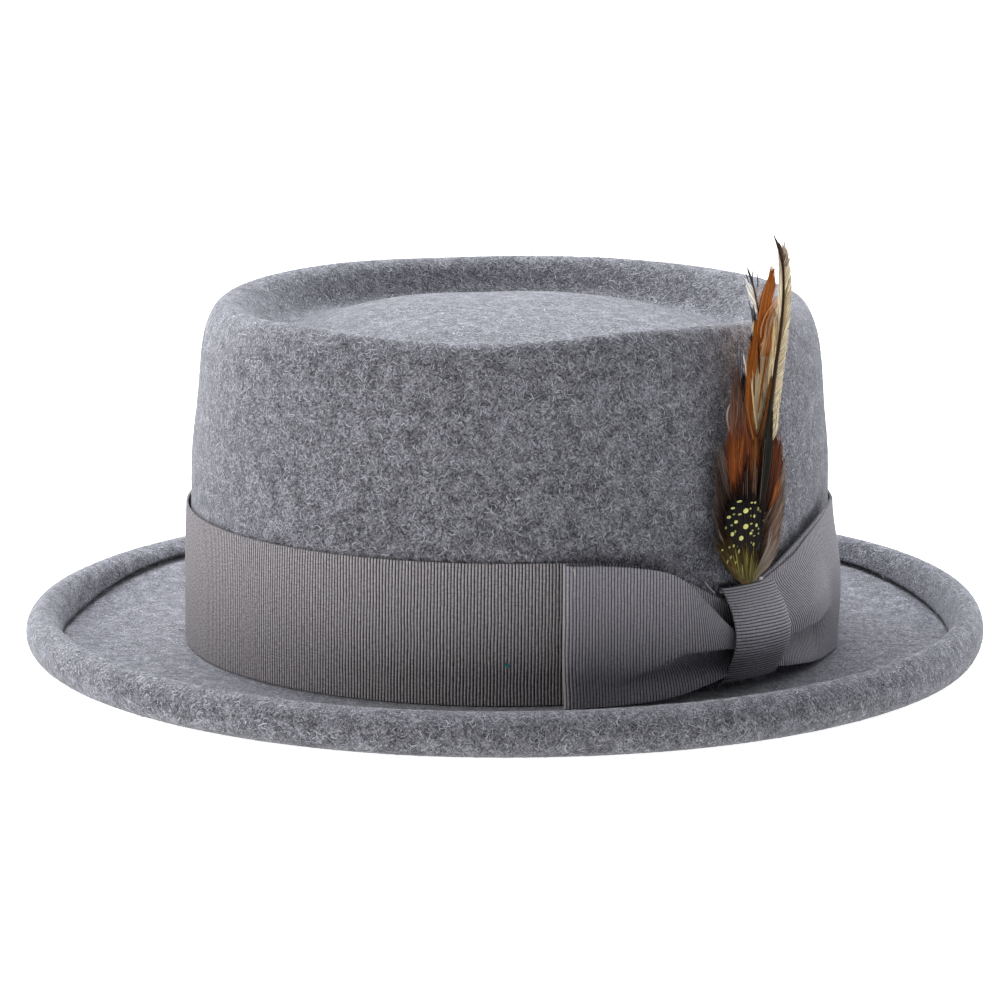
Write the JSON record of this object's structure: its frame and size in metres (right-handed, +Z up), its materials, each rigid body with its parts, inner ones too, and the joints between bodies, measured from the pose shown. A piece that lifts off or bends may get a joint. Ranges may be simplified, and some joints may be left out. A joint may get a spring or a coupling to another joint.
{
  "type": "porkpie hat",
  "caption": "Grey felt porkpie hat: low crown with a telescope top, narrow rolled brim, ribbed ribbon band with a flat side bow and a bundle of feathers.",
  "frame": {"origin": "on the floor, under the middle of the brim", "axes": "+Z up through the crown, +Y towards the back of the hat, +X towards the wearer's left, where the bow sits"},
  "size_m": [0.276, 0.2856, 0.131],
  "materials": {
    "felt": "brushed heather wool felt",
    "ribbon": "matt grosgrain ribbon with fine cross ribs",
    "feather_rust": "soft downy feather",
    "feather_dark_tip": "fine feather with a black tip",
    "feather_orange": "silky feather",
    "feather_cream": "silky feather with a dark shaft",
    "feather_spotted": "dark feather with pale dots"
  },
  "bodies": {
    "root": {"felt_body": "felt", "hat_band": "ribbon", "bow_front_loop": "ribbon", "bow_rear_loop": "ribbon", "bow_knot": "ribbon", "feather_rust_body": "feather_rust", "feather_dark_tip": "feather_dark_tip", "feather_orange": "feather_orange", "feather_long_cream": "feather_cream", "feather_spotted": "feather_spotted"}
  },
  "joints": []
}
